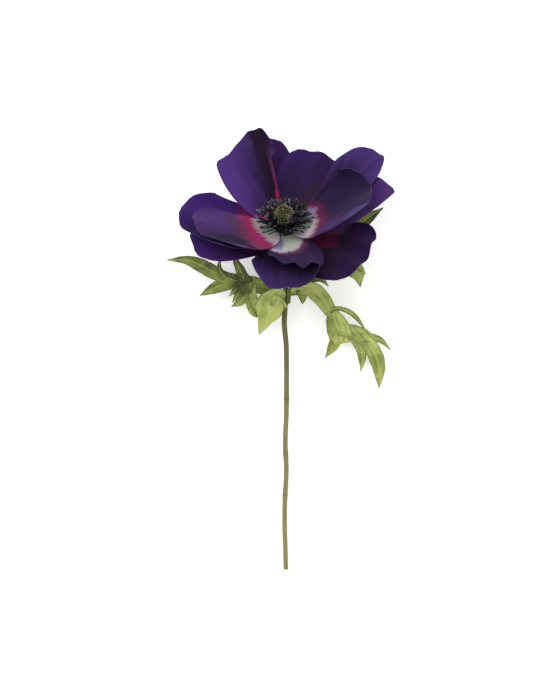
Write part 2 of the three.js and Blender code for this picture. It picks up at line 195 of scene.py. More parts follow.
class Growth(Nodes):  # a Geometry Nodes tree for a modifier
    def __init__(self, name):
        super().__init__(bpy.data.node_groups.new(name, "GeometryNodeTree"))
        self.tree.is_modifier = True
        self.tree.interface.new_socket("Geometry", in_out="OUTPUT", socket_type="NodeSocketGeometry")
        self.start = self.tree.nodes.new("NodeGroupInput")
        self.given = self.input("Geometry", "NodeSocketGeometry")

    def input(self, name, kind="NodeSocketFloat"):
        self.tree.interface.new_socket(name, in_out="INPUT", socket_type=kind)
        return Signal(self, self.start.outputs[name])

    def scatter(self, low, high, seed):  # a random number for each point or instance
        sockets = {2: low, 3: high, "Seed": seed}
        return self.node("FunctionNodeRandomValue", sockets, {"data_type": "FLOAT"}, out=1)

    def store(self, geometry, name, value, domain="POINT"):
        settings = {"data_type": "FLOAT", "domain": domain}
        sockets = {"Geometry": geometry, "Name": name, "Value": value}
        return self.node("GeometryNodeStoreNamedAttribute", sockets, settings)

    def join(self, *parts):
        made = self.node("GeometryNodeJoinGeometry", out=None)
        for part in parts:
            self.tree.links.new(part.socket, made.inputs[0])
        return Signal(self, made.outputs[0])

    def facing(self, start, end):  # the rotation that points Z from start to end
        leave = self.node("ShaderNodeVectorMath", {0: end, 1: start}, {"operation": "SUBTRACT"})
        return self.node("FunctionNodeAlignRotationToVector", {"Vector": leave}, {"axis": "Z"})

    def plant(self, points, thing, turn, size, seed):  # one on each point, each with its own tone
        scale = self.vector(size, size, size)
        sockets = {"Points": points, "Instance": thing, "Rotation": turn, "Scale": scale}
        planted = self.node("GeometryNodeInstanceOnPoints", sockets)
        return self.store(planted, "tone", self.scatter(0, 1, seed), "INSTANCE")

    def end(self, geometry, paint):
        real = self.node("GeometryNodeRealizeInstances", {"Geometry": geometry})
        painted = self.node("GeometryNodeSetMaterial", {"Geometry": real, "Material": paint})
        self.node("NodeGroupOutput", {"Geometry": painted}, out=None)
        return self.tree


def grow(piece, tree, values):
    modifier = piece.modifiers.new(tree.name, "NODES")
    modifier.node_group = tree
    for item in tree.interface.items_tree:
        if item.in_out == "INPUT" and item.name in values:
            modifier[item.identifier] = values[item.name]


def settle(piece, place=Matrix()):  # the modifiers' result, moved to its place, becomes the piece's own mesh
    grown = piece.evaluated_get(bpy.context.evaluated_depsgraph_get())
    mesh = bpy.data.meshes.new_from_object(grown)
    mesh.transform(Matrix.Translation(place.to_translation() * mm) @ place.to_3x3().to_4x4())
    piece.modifiers.clear()
    piece.data = mesh


def closedSheet(grid, thick):
    # both faces of a sheet round a grid of points, and its rim: vertices and quads
    rows, columns = len(grid), len(grid[0])
    upper, lower = [], []
    for j in range(rows):
        for i in range(columns):
            acrossIt = grid[j][min(i + 1, columns - 1)] - grid[j][max(i - 1, 0)]
            alongIt = grid[min(j + 1, rows - 1)][i] - grid[max(j - 1, 0)][i]
            offset = acrossIt.cross(alongIt).normalized() * thick[j][i] / 2
            upper.append(grid[j][i] + offset)
            lower.append(grid[j][i] - offset)
    under = len(upper)
    faces = []
    for j in range(rows - 1):
        for i in range(columns - 1):
            a = j * columns + i
            b, c, d = a + 1, a + columns + 1, a + columns
            faces += [(a, b, c, d), (under + d, under + c, under + b, under + a)]
    last = columns - 1
    rim = list(range(last)) + [j * columns + last for j in range(rows - 1)]
    rim += [(rows - 1) * columns + i for i in range(last, 0, -1)]
    rim += [j * columns for j in range(rows - 1, 0, -1)]
    faces += [(under + a, under + b, b, a) for a, b in zip(rim, rim[1:] + rim[:1])]
    return upper + lower, faces


def turned(profile, sides):
    # a closed solid turned round the bloom's axis; the profile runs up from the axis and back to it
    vertices, faces = [Vector((0, 0, profile[0][1]))], []
    for radius, height in profile[1:-1]:
        for i in range(sides):
            angle = 2 * math.pi * i / sides
            vertices.append(Vector((radius * math.cos(angle), radius * math.sin(angle), height)))
    top = len(vertices)
    vertices.append(Vector((0, 0, profile[-1][1])))
    for i in range(sides):
        j = (i + 1) % sides
        faces.append((0, 1 + j, 1 + i))
        for ring in range(len(profile) - 3):
            a, b = 1 + ring * sides + i, 1 + ring * sides + j
            faces.append((a, b, b + sides, a + sides))
        faces.append((top - sides + i, top - sides + j, top))
    return vertices, faces


def putInScene(name, data):
    thing = bpy.data.objects.new(name, data)
    bpy.context.scene.collection.objects.link(thing)
    return thing


def makePiece(name, vertices, faces, place, marks=None, paint=None):
    placed = [place @ v for v in vertices]
    mesh = bpy.data.meshes.new(name)  # nothing in it goes under the table, at height 0
    mesh.from_pydata([(v.x * mm, v.y * mm, max(v.z, 0) * mm) for v in placed], [], faces)
    for mark, values in (marks or {}).items():
        mesh.attributes.new(mark, "FLOAT", "POINT").data.foreach_set("value", values)
    if paint:
        mesh.materials.append(paint)
    return putInScene(name, mesh)


def handOver(piece, node):  # the piece stands for the solid, and moves with the flower
    piece.data.polygons.foreach_set("use_smooth", [True] * len(piece.data.polygons))
    piece.data.set_sharp_from_angle(angle=math.radians(50))
    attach(piece, "root")
    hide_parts(node)


# Each petal, seen from the tip of the bloom's axis, angles in degrees:
#   azimuth, drop, length  where it points, how far down the axis it sits, its length
#   sides, claw            half its width to the left and right, its width at the seat
#   flare                  how it widens above its claw on each side: quickly under 1, slowly over it
#   rise, cup, roll        slope of its midrib at seat and tip, curl of its sides, lift of its right side
#   ruffle, end            half waves a side with height and phase, and how far its edge reaches
#   hem                    edges that turn over: side, degrees, the shares of its length from and to,
#                          and the share of the width where the turn starts
#   white, crimson, dye    where these zones end, as a share of its length: at the left, midrib and right,
#                          and the crimson one's colour
#   deep, light, glow      its two violets, and how much of the light one: everywhere, to the right, outward. The mix is painted light and shade on top of its own violet, and the deep violet is darkened by painted shade
#   blush  soft patches of its own tints, of painted shade and of painted highlight: colour, place across and
#   along, half width, half length, strength
#   lining                 colours of a turned edge that has its own: at the seat and outward
usualPetal = {"claw": 6, "flare": (0.6, 0.6), "roll": 0, "hem": [], "blush": []}
petals = {
    "petal_right_inner": {
        "azimuth": -8, "drop": 0, "length": 46, "sides": (26, 20), "claw": 7,
        "rise": (22, 50), "cup": 34, "roll": 8,
        "ruffle": (2, 1, 30), "end": (0.5, 0.7, 0.86, 0.97, 1.04, 1.04, 0.9),
        "hem": [(1, 130, 0.3, 0.8, 0.86)],
        "white": (0.08, 0.25, 0.22), "crimson": (0.16, 0.35, 0.36), "dye": (92, 20, 60),
        "deep": (24, 10, 46), "light": (50, 24, 76), "glow": (0.2, 0.4, 0),
        "blush": [
            ((118, 110, 152), -0.5, 0.13, 0.4, 0.13, 0.9), ((66, 36, 84), 0.4, 0.5, 0.3, 0.22, 0.6),
            # the grey-lilac patch on the right edge is a painted sheen
            ((72, 54, 90), 1, 0.5, 0.16, 0.4, 0.7),
        ],
    },
    "petal_left_inner": {
        "azimuth": 206, "drop": 0, "length": 44, "sides": (19, 14), "claw": 8,
        "flare": (0.5, 0.6), "rise": (15, 32), "cup": 25,
        "ruffle": (2, 0.8, 0), "end": (0.62, 0.84, 0.97, 1, 0.97, 0.86, 0.66),
        "white": (0.15, 0.21, 0.18), "crimson": (0.44, 0.4, 0.32), "dye": (134, 27, 78),
        "deep": (26, 9, 46), "light": (70, 40, 98), "glow": (0.6, 1.1, 0),
        "blush": [
            # of these, the dark patch out at the left edge is painted shade
            ((66, 40, 68), 0.2, 0.44, 1.1, 0.15, 0.7), ((24, 8, 42), -1, 0.85, 0.8, 0.35, 0.8),
            ((98, 42, 78), -0.95, 0.36, 0.5, 0.1, 0.75),
        ],
    },
    "petal_top_left": {
        "azimuth": 114, "drop": 0.9, "length": 51, "sides": (20, 12.5), "claw": 7,
        "flare": (0.6, 1.2), "rise": (14, 26), "cup": 30,
        "ruffle": (2.5, 0.8, 0), "end": (0.7, 0.76, 0.82, 0.94, 1.0, 0.98, 0.8),
        "hem": [(1, 130, 0.04, 0.86, 0.76)],
        "white": (0.05, 0.05, 0.05), "crimson": (0.1, 0.1, 0.14), "dye": (146, 20, 84),
        "deep": (24, 9, 32), "light": (71, 42, 112), "glow": (0, -0.8, 0.6),
        # the grey patch near the tip is a painted highlight
        "blush": [((50, 46, 70), 0.2, 0.9, 0.2, 0.08, 0.5), ((150, 18, 78), 0.8, 0.27, 0.25, 0.07, 0.95)],
        "lining": ((138, 20, 78), (96, 44, 84)),
    },
    "petal_front_inner": {
        "azimuth": 281, "drop": 1.8, "length": 32.5, "sides": (12.5, 12), "claw": 7,
        "flare": (0.5, 0.6), "rise": (15, 15), "cup": 10,
        "ruffle": (3, 1.2, 0), "end": (0.78, 0.98, 1, 0.95, 0.8, 0.7, 0.52),
        "white": (0, 0.52, 0.48), "crimson": (0.2, 0.6, 0.5), "dye": (84, 40, 72),
        "deep": (35, 18, 48), "light": (46, 25, 66), "glow": (0.5, 0, 0),
        "blush": [((104, 94, 146), 0.55, 0.28, 0.35, 0.26, 0.9)],
    },
    "petal_right_upper": {
        "azimuth": 34, "drop": 1.2, "length": 56, "sides": (16, 9.5),
        "flare": (1.4, 0.6), "rise": (5, 30), "cup": 20,
        "ruffle": (2, 0.7, 0), "end": (0.7, 0.88, 0.97, 1, 0.89, 0.66, 0.53),
        "white": (0.12, 0.12, 0.12), "crimson": (0.22, 0.22, 0.22), "dye": (110, 24, 70),
        "deep": (28, 12, 42), "light": (66, 44, 106), "glow": (-0.65, 0.25, 1.55),
    },
    "petal_left_outer": {
        "azimuth": 187, "drop": 1.9, "length": 47, "sides": (18, 19),
        "flare": (0.6, 0.4), "rise": (6, 28), "cup": 20,
        "ruffle": (2, 0.8, 45), "end": (0.6, 0.86, 0.97, 1, 0.93, 0.8, 0.6),
        "white": (0.08, 0.08, 0.08), "crimson": (0.2, 0.26, 0.32), "dye": (110, 24, 70),
        "deep": (31, 11, 58), "light": (56, 26, 100), "glow": (0, 0.3, 0.7),
    },
    "petal_right_outer": {
        "azimuth": 14, "drop": 2.66, "length": 51, "sides": (19, 7.5),
        "rise": (4, 25), "cup": 12,
        "ruffle": (1.5, 0.5, 0), "end": (0.66, 0.84, 0.95, 1, 0.83, 0.62, 0.53),
        "white": (0.12, 0.12, 0.12), "crimson": (0.22, 0.22, 0.22), "dye": (110, 24, 70),
        "deep": (48, 28, 70), "light": (74, 43, 106), "glow": (-0.4, 0, 1.2),
    },
    "petal_front": {
        "azimuth": 271, "drop": 2.9, "length": 42, "sides": (17, 15.5),
        "rise": (8, 8), "cup": 15, "roll": -4,
        "ruffle": (2, 0.7, 90), "end": (0.5, 0.82, 0.96, 1, 0.93, 0.7, 0.5),
        "hem": [(1, 60, 0.3, 0.88, 0.86)],
        "white": (0.08, 0.08, 0.08), "crimson": (0.2, 0.2, 0.2), "dye": (90, 20, 60),
        "deep": (19, 6, 30), "light": (54, 30, 88), "glow": (-0.85, 0.45, 1.5),
        "blush": [((66, 38, 68), 0.6, 0.25, 0.6, 0.2, 0.7)],
    },
    "petal_top": {
        "azimuth": 70, "drop": 3.41, "length": 48, "sides": (16, 21),
        "rise": (3, 13.5), "cup": 10, "roll": -10,
        "ruffle": (3, 0.9, 60), "end": (0.76, 0.9, 0.97, 1.02, 0.99, 1.03, 0.9),
        "white": (0.1, 0.1, 0.1), "crimson": (0.18, 0.2, 0.3), "dye": (100, 24, 64),
        "deep": (30, 14, 38), "light": (47, 22, 82), "glow": (-0.3, -0.3, 1.0),
        "blush": [((50, 26, 48), 0.3, 0.42, 0.4, 0.3, 0.6)],
    },
    "petal_left_lower": {
        "azimuth": 205, "drop": 3.7, "length": 41, "sides": (10.5, 17),
        "flare": (0.2, 0.6), "rise": (2, 12), "cup": 12, "roll": 5,
        "ruffle": (2, 0.6, 0), "end": (0.62, 0.84, 0.95, 1, 0.97, 0.86, 0.6),
        "white": (0.08, 0.08, 0.08), "crimson": (0.3, 0.3, 0.3), "dye": (90, 14, 60),
        "deep": (46, 13, 50), "light": (65, 35, 104), "glow": (-0.6, 0, 1.7),
        "blush": [((80, 12, 58), -0.3, 0.3, 0.7, 0.2, 0.8)],
    },
    "petal_right_lower": {
        "azimuth": 327, "drop": 3.8, "length": 39, "sides": (23.5, 21),
        "rise": (0, 6), "cup": 10,
        "ruffle": (3, 0.9, 0), "end": (0.7, 0.87, 0.94, 1, 0.97, 0.92, 0.7),
        "white": (0.1, 0.1, 0.1), "crimson": (0.2, 0.2, 0.2), "dye": (90, 14, 60),
        "deep": (30, 11, 28), "light": (38, 17, 63), "glow": (-0.7, -0.25, 1.7),
        # the light mauve patch at the left is painted light that lifts the shade the right inner petal casts
        # there
        "blush": [((96, 58, 100), -0.85, 0.3, 0.5, 0.3, 0.8), ((84, 10, 50), -0.3, 0.38, 0.42, 0.2, 0.7)],
    },
    "petal_top_outer": {
        "azimuth": 106, "drop": 4.76, "length": 54, "sides": (15, 17),
        "rise": (1, 28.5), "cup": 4,
        "ruffle": (2, 0.4, 0), "end": (0.6, 0.86, 0.97, 1, 0.97, 0.88, 0.62),
        "white": (0.08, 0.08, 0.08), "crimson": (0.2, 0.2, 0.2), "dye": (90, 14, 60),
        "deep": (38, 12, 48), "light": (55, 29, 90), "glow": (-0.4, -0.3, 1.2),
    },
}
petalMake = {
    "columns": 96,
    "rows": 72,
    "thick": (0.5, 0.26),  # at the seat and at the edge
    "pleat": (0.09, 6),  # height of the soft folds that fan out from the seat, and how many a side
    "groove": (0.25, 1.3),  # depth and half width of the groove along the midrib
    "sway": 0.45,  # slow unevenness of the whole blade
    "nick": 0.8,  # unevenness of the far edge
    "restHeight": 0.2,  # of the middle of a blade that lies on the table
    "folds": (6, 1.1),  # grain of the paint's noises, in cells to half the width and to the length
    "streaks": (19, 1.6),
    "threads": (70, 4),
    "patches": (1.6, 2.4),
    "relief": 0.14,  # depth of the paint's own folds and streaks
    "white": (170, 154, 166),
    "paleGreen": (158, 168, 150),
    "underside": (70, 54, 104),
    "undersideFoot": (96, 104, 74),
    "roughness": 0.66,
    "specular": 0.07,
    "sheen": 0.02,
    "sheenRoughness": 0.5,
}


def petalSection(petal, v, half, side):
    # from the midrib out to one side at share v of the length: distance, sideways and lift
    make = petalMake
    cells = make["columns"] // 2
    curl = math.radians(petal["cup"]) * v * 2 / sum(petal["sides"])
    turns, turnFrom = 0, 0.9
    for hemSide, degrees, start, stop, hemFrom in petal["hem"]:
        if hemSide == side:
            turns = math.radians(degrees) * smooth(start, start + 0.12, v) * smooth(stop, stop - 0.12, v)
            turnFrom = hemFrom
    bow = lip = 0
    section = [(0, 0, 0)]
    for i in range(1, cells + 1):
        near, far = (half * math.sin(math.pi / 2 * k / cells) for k in (i - 1, i))
        middle = (near + far) / 2
        lean = curl * middle + turns * smooth(turnFrom, 1, middle / half) ** 0.7
        bow += math.cos(lean) * (far - near)
        lip += math.sin(lean) * (far - near)
        section.append((side * far, side * bow, lip))
    return section


def petalSheet(petal, seed):
    make = petalMake
    azimuth = Matrix.Rotation(math.radians(petal["azimuth"]), 4, "Z")
    low, high = (math.radians(a) for a in petal["rise"])
    length = petal["length"]
    bend = (high - low) / length
    waves, height, phase = petal["ruffle"]
    pleatHeight, pleats = make["pleat"]
    grooveDepth, grooveHalf = make["groove"]
    cells = make["columns"] // 2
    grid, thick = [], []
    marks = {"across": [], "along": [], "margin": []}
    for j in range(make["rows"] + 1):
        v = j / make["rows"]
        spreads = [math.sin(math.pi / 2 * v**flare) for flare in petal["flare"]]
        tilt = math.radians(petal["roll"]) * math.sin(math.pi / 2 * v**0.6)
        halves = [lerp(petal["claw"] / 2, width, spread) for width, spread in zip(petal["sides"], spreads)]
        left, right = (petalSection(petal, v, half, side) for half, side in zip(halves, (-1, 1)))
        row, thickRow = [], []
        for k, (x, bow, lip) in enumerate(left[:0:-1] + right):
            u = (k - cells) / cells
            half = halves[0] if u < 0 else halves[1]
            reach = length * valueAlong(petal["end"], (u + 1) / 2)
            nick = ripple(4 * u, seed, 0) + 0.5 * ripple(11 * u, seed, 5)
            y = v * lerp(length, reach, v) + make["nick"] * nick * v**6
            slope = low + bend * y
            out = (math.sin(slope) - math.sin(low)) / bend if bend else y * math.cos(low)
            up = (math.cos(low) - math.cos(slope)) / bend if bend else y * math.sin(low)
            wave = height * v**3 * math.sin(math.pi * waves * x / half + math.radians(phase))
            fading = (1 - v) * smooth(0, 0.2, v) * smooth(4, 12, half)
            wave += pleatHeight * fading * math.cos(2 * math.pi * pleats * x / half)
            wave += make["sway"] * ripple(1.6 * u, 2.2 * v, seed) * smooth(0, 0.5, v)
            wave -= grooveDepth * math.exp(-((x / grooveHalf) ** 2)) * (1 - v)
            lift = lip * math.cos(tilt) + bow * math.sin(tilt) + wave
            sideways = bow * math.cos(tilt) - lip * math.sin(tilt)
            spot = bloomPlace @ azimuth @ Vector((
                bloom["seatRadius"] + out - lift * math.sin(slope),
                -sideways,
                up + lift * math.cos(slope) - petal["drop"],
            ))
            row.append(Vector((spot.x, spot.y, max(spot.z, make["restHeight"]))))
            margin = min(half - abs(x), (1 - v) * reach)
            thickRow.append(lerp(make["thick"][1], make["thick"][0], smooth(0, 6, margin) * (1 - 0.5 * v)))
            marks["across"].append(x / half)
            marks["along"].append(v)
            marks["margin"].append(margin)
        grid.append(row)
        thick.append(thickRow)
    vertices, faces = closedSheet(grid, thick)
    marks = {name: values * 2 for name, values in marks.items()}
    count = len(vertices) // 2
    marks["upper"] = [1.0] * count + [0.0] * count
    return vertices, faces, marks


def petalPaint(name, petal, seed):
    make = petalMake
    paint = Paint(name)
    across, along, margin, upper = (paint.mark(m) for m in ("across", "along", "margin", "upper"))

    def noiseAlong(name, offset, detail, rough):  # noise that follows the petal
        wide, long = make[name]
        return paint.cloud(paint.vector(across * wide, along * long, seed + offset), 1, detail, rough)

    folds = noiseAlong("folds", 0, 2, 0.5)
    streaks = noiseAlong("streaks", 3, 3, 0.6)
    threads = noiseAlong("threads", 5, 2, 0.5)
    patches = noiseAlong("patches", 9, 2, 0.5)

    # the mix between the deep and light violets is painted light and shade, with random tone from the noises
    everywhere, rightward, outward = petal["glow"]
    glow = across * rightward + along * outward + everywhere
    glow = glow + (patches - 0.5) * 0.7 + (folds - 0.5) * 0.6 + (streaks - 0.5) * 0.35
    body = paint.mix(paint.step(glow, -0.15, 1.15), petal["deep"], petal["light"])
    body = paint.mix(paint.step(margin, 1.2, 0) * 0.3, body, petal["light"])

    def zoneEnd(ends):  # a curve through its reach at the left, midrib and right
        left, middle, right = ends
        return across * ((right - left) / 2) + across * across * ((left + right) / 2 - middle) + middle

    reach = along + (folds - 0.5) * 0.12 + (streaks - 0.5) * 0.06 + (threads - 0.5) * 0.03
    crimsonEnd, whiteEnd = zoneEnd(petal["crimson"]), zoneEnd(petal["white"])
    body = paint.mix(paint.step(reach, crimsonEnd + 0.1, crimsonEnd - 0.06), body, petal["dye"])
    body = paint.mix(paint.step(reach, whiteEnd + 0.06, whiteEnd - 0.06), body, make["white"])
    green = paint.step(reach, whiteEnd + 0.02, whiteEnd - 0.16) * paint.step(abs(across), 0.9, 0.3)
    body = paint.mix(green, body, make["paleGreen"])
    # soft patches: some are the petal's own tints, some are painted shade or painted highlight
    for tint, u, v, wide, long, strength in petal["blush"]:
        sideways, lengthways = (across - u) / wide, (reach - v) / long
        spot = paint.step(sideways * sideways + lengthways * lengthways, 1, 0.1)
        body = paint.mix(spot * strength, body, tint)

    under = paint.mix(paint.step(reach, 0.3, 0.02), make["underside"], make["undersideFoot"])
    under = paint.mix(paint.step(threads, 0.35, 0.75) * 0.4, under, petal["deep"])
    colour = paint.mix(upper, under, body)
    if "lining" in petal:  # on both faces
        near, far = petal["lining"]
        lining = paint.mix(paint.step(reach, 0.15, 0.6), near, far)
        colour = paint.mix(paint.step(across, 0.7, 0.86) * paint.step(reach, 0.9, 0.5), colour, lining)
    relief = folds * 0.5 + streaks * 0.4 + threads * 0.2
    constants = {
        "Specular IOR Level": make["specular"],
        "Sheen Weight": make["sheen"],
        "Sheen Roughness": make["sheenRoughness"],
    }
    return paint.finish(colour, (threads - 0.5) * 0.2 + make["roughness"], relief, make["relief"], constants)


def pieceName(node):  # petal_top becomes petalTop
    first, *rest = node.split("_")
    return first + "".join(word.capitalize() for word in rest)


for seed, (node, petal) in enumerate(petals.items()):
    name = pieceName(node)
    petal = {**usualPetal, **petal}
    vertices, faces, marks = petalSheet(petal, seed * 3.7)
    piece = makePiece(name, vertices, faces, Matrix(), marks, petalPaint(name, petal, seed * 3.7))
    handOver(piece, node)
print("petals:", len(petals))


stem = {
    "path": [
        (0, -4.4, 28.6), (0, -9, 24), (0.3, -18, 17.4), (1, -31.5, 12), (0.2, -45.5, 9.9), (1.1, -56, 8.8),
        (1.3, -73, 7.2), (1.2, -89, 5.9), (0.7, -104, 4.8), (1.2, -117.5, 3.8), (0.5, -131.5, 2.8),
        (0.4, -144.5, 2), (0.7, -154.5, 1.5), (1, -165.5, 1),
    ],
    "radius": (1.35, 1.08),  # under the bloom and at the cut
    "joints": (0.5, 0.66, 0.78),  # shares of its length where it swells a little
    "swell": 0.14,
    "steps": 240,
    "sides": 54,
    "ribs": 9,
    "ribDepth": 0.03,
    "grain": (2600, 120, 2600),  # cells of the paint's noise to a metre; long ones, along the stem
    "light": (134, 131, 80),
    "dark": (80, 80, 40),
    "cut": (176, 180, 134),
    "shadeInBloom": (34, 30, 38),  # painted shade on the receptacle, where the petals and stamens hide it
    "receptacle": [
        (0, -9), (1.4, -9), (1.6, -8.6), (2.2, -7.6), (3.2, -6.8), (4.1, -6.2), (4.5, -5.8), (4.6, -5.3),
        (4.6, -4), (4.6, -2), (4.6, 0), (4.6, 0.9), (4.45, 1.3), (4.2, 1.5), (0, 1.5),
    ],
    "receptacleSides": 64,
}
stemPath = Path(stem["path"])


def stemPaint():
    paint = Paint("stemSkin")
    place = paint.place()
    share = paint.mark("share")
    scaled = paint.node("ShaderNodeMapping", {"Vector": place, "Scale": stem["grain"]})
    grain = paint.cloud(scaled, 1, 3, 0.6)
    blotch = paint.cloud(place, 90, 2, 0.5)
    pale = paint.step(share + (blotch - 0.5) * 0.5, 0.1, 0.9)
    colour = paint.mix(pale, stem["dark"], stem["light"])
    colour = paint.mix(paint.step(grain, 0.62, 0.4) * 0.45, colour, stem["dark"])
    for at in stem["joints"]:
        ring = paint.step(abs(share - at), 0.006, 0)
        colour = paint.mix(ring * 0.4, colour, stem["dark"])
    colour = paint.mix(paint.step(share, 0.9995, 1), colour, stem["cut"])
    # painted shade on the receptacle under the petals and stamens
    colour = paint.mix(paint.mark("shadeInBloom"), colour, stem["shadeInBloom"])
    return paint.finish(colour, (grain - 0.5) * 0.2 + 0.55, grain, 0.1, {"Specular IOR Level": 0.3})


def stemTree(paint):
    growth = Growth("stemGrowth")
    sides = growth.input("Sides", "NodeSocketInt")
    ribs = growth.input("Ribs", "NodeSocketInt")
    depth = growth.input("Rib Depth")
    ring = growth.node("GeometryNodeCurvePrimitiveCircle", {"Resolution": sides, "Radius": 1})
    position = growth.node("GeometryNodeInputPosition")
    x, y, _ = growth.parts(position)
    size = growth.maths("COSINE", growth.maths("ARCTAN2", y, x) * ribs) * depth + 1
    ribbed = growth.node("ShaderNodeVectorMath", {0: position, "Scale": size}, {"operation": "SCALE"})
    ring = growth.node("GeometryNodeSetPosition", {"Geometry": ring, "Position": ribbed})
    line = growth.node("GeometryNodeMeshToCurve", {"Mesh": growth.given})
    thick = growth.node("GeometryNodeInputNamedAttribute", {"Name": "thick"}, {"data_type": "FLOAT"})
    sockets = {"Curve": line, "Profile Curve": ring, "Scale": thick, "Fill Caps": True}
    rod = growth.node("GeometryNodeCurveToMesh", sockets)
    return growth.end(rod, paint)


def stemThickness(share):
    swell = sum(math.exp(-(((share - at) / 0.012) ** 2)) for at in stem["joints"])
    return lerp(*stem["radius"], share) + stem["swell"] * swell


skin = stemPaint()
shares = [k / stem["steps"] for k in range(stem["steps"] + 1)]
stemLine = makePiece(
    "stemStalk", [stemPath.at(s) for s in shares], [], stemPlace,
    {"share": shares, "thick": [stemThickness(s) * mm for s in shares]},
)
stemLine.data.edges.add(stem["steps"])
stemLine.data.edges.foreach_set("vertices", [k for e in range(stem["steps"]) for k in (e, e + 1)])
grow(stemLine, stemTree(skin), {"Sides": stem["sides"], "Ribs": stem["ribs"], "Rib Depth": stem["ribDepth"]})
settle(stemLine)
for v in stemLine.data.vertices:
    v.co.z = max(v.co.z, 0)
vertices, faces = turned(stem["receptacle"], stem["receptacleSides"])
# the receptacle is painted dark above its collar, as shade under the petals and stamens
marks = {"share": [0.0] * len(vertices), "shadeInBloom": [smooth(-5.5, -4, v.z) for v in vertices]}
receptacle = makePiece("receptacle", vertices, faces, bloomPlace, marks, skin)
handOver(stemLine, "stem")
handOver(receptacle, "stem")
print("stem")


head = {
    "radius": 4.1,
    "foot": 1.8,
    "top": 10.6,
    "carpels": 220,
    "carpelWidth": 0.38,
    "carpelLength": 0.7,
    "seed": 3,
    "blunt": 0.8,  # under 1 for a dome that is fuller than a ball
    "taper": 0.16,  # how much narrower it is towards the top
    "core": 0.93,  # radius of the core under the carpels, as a share of the head's
    "coreTop": 10.3,
    "coreRings": 24,
    "coreSides": 40,
    # dark is painted shade between the carpels, on their feet and on the core; tip is a painted highlight on
    # some carpels' tips
    "dark": (30, 30, 22),
    "olive": (112, 114, 70),
    "tip": (172, 172, 108),
}


def headPaint():
    paint = Paint("carpelDown")
    tone, tip = paint.mark("tone"), paint.mark("tip")
    down = paint.cloud(paint.place(), 4000, 2, 0.6)
    # dark towards each carpel's foot as painted shade between the carpels, and a painted highlight on the
    # tips of some
    colour = paint.mix(paint.step(tip, 0.1, 0.9), head["dark"], head["olive"])
    colour = paint.mix(paint.step(tone + (down - 0.5) * 0.4, 0.55, 1) * tip, colour, head["tip"])
    return paint.finish(colour, (down - 0.5) * 0.2 + 0.75, down, 0.08, {"Specular IOR Level": 0.25})


def headTree(paint):
    goldenAngle = math.pi * (3 - math.sqrt(5))
    growth = Growth("carpelGrowth")
    count = growth.input("Count", "NodeSocketInt")
    names = ("Radius", "Foot", "Top", "Carpel Width", "Carpel Length")
    radius, foot, top, width, length = (growth.input(name) for name in names)
    seed = growth.input("Seed", "NodeSocketInt")
    share = (growth.node("GeometryNodeInputIndex") + 0.5) / count * 0.86 + 0.14  # from low on the side up
    polar = growth.maths("ARCCOSINE", 1 - share * 2)
    reach = growth.maths("MAXIMUM", growth.maths("SINE", polar), 0.001) ** head["blunt"]
    reach = reach * (1 - growth.maths("COSINE", polar) * head["taper"]) * radius
    turn = growth.node("GeometryNodeInputIndex") * goldenAngle
    height = foot + (top - foot) * share
    where = growth.vector(reach * growth.maths("COSINE", turn), reach * growth.maths("SINE", turn), height)
    points = growth.node("GeometryNodePoints", {"Count": count, "Position": where})
    middle = growth.vector(0.0, 0.0, foot + (top - foot) * 0.45)
    carpel = growth.node("GeometryNodeMeshUVSphere", {"Segments": 7, "Rings": 5, "Radius": 1})
    carpel = growth.store(carpel, "tip", growth.parts(growth.node("GeometryNodeInputPosition"))[2])
    girth = growth.vector(width, width, length)
    carpel = growth.node("GeometryNodeTransform", {"Geometry": carpel, "Scale": girth})
    size = growth.scatter(0.85, 1.15, seed)
    carpels = growth.plant(points, carpel, growth.facing(middle, where), size, seed + 1)
    return growth.end(growth.join(growth.given, carpels), paint)


down = headPaint()
profile = []
for ring in range(head["coreRings"] + 1):
    angle = math.pi * ring / head["coreRings"]
    girth = math.sin(angle) ** head["blunt"] * (1 - head["taper"] * math.cos(angle))
    height = lerp(head["foot"], head["coreTop"], (1 - math.cos(angle)) / 2)
    profile.append((head["radius"] * head["core"] * girth, height))
vertices, faces = turned(profile, head["coreSides"])
# the core takes the dark, painted shade between the carpels
carpelHead = makePiece("carpelHead", vertices, faces, Matrix(), {"tip": [0.2] * len(vertices)}, down)
grow(carpelHead, headTree(down), {
    "Count": head["carpels"], "Seed": head["seed"],
    "Radius": head["radius"] * mm, "Foot": head["foot"] * mm, "Top": head["top"] * mm,
    "Carpel Width": head["carpelWidth"] * mm, "Carpel Length": head["carpelLength"] * mm,
})
settle(carpelHead, bloomPlace)
handOver(carpelHead, "carpel_head")
print("carpel head:", head["carpels"], "carpels")


stamens = {
    "rings": [  # how many, and the radius and height at which they bend and at which they end
        {"count": 30, "bend": (5, 5), "tip": (5.2, 8.4)},
        {"count": 42, "bend": (5.6, 5.2), "tip": (7, 8.6)},
        {"count": 58, "bend": (6.4, 4.6), "tip": (8.9, 8)},
        {"count": 68, "bend": (7.2, 4.2), "tip": (10.8, 7.2)},
        {"count": 66, "bend": (8, 3.6), "tip": (12.6, 6)},
    ],
    "foot": (3.9, 2.2),
    "band": [(0, 1.55), (4.35, 1.55), (4.35, 2.6), (0, 2.6)],  # what they stand on: radius and height
    "bandSides": 40,
    "filament": 0.2,  # radius
    "antherLength": 2.0,
    "antherWidth": 0.72,
    "scatter": 10,  # degrees that each leans off its place
    "dark": (10, 9, 16),
    "blue": (24, 24, 42),
    "pollen": (128, 126, 136),
}


def stamenPaint():
    paint = Paint("stamenBlack")
    tone, anther = paint.mark("tone"), paint.mark("anther")
    dust = paint.cloud(paint.place(), 3500, 2, 0.6)
    colour = paint.mix(tone, stamens["dark"], stamens["blue"])
    dusty = anther * paint.step(dust + (tone - 0.5) * 0.7, 0.45, 0.85)
    colour = paint.mix(dusty * 0.75, colour, stamens["pollen"])
    return paint.finish(colour, (dust - 0.5) * 0.2 + 0.65, dust, 0.06, {"Specular IOR Level": 0.3})


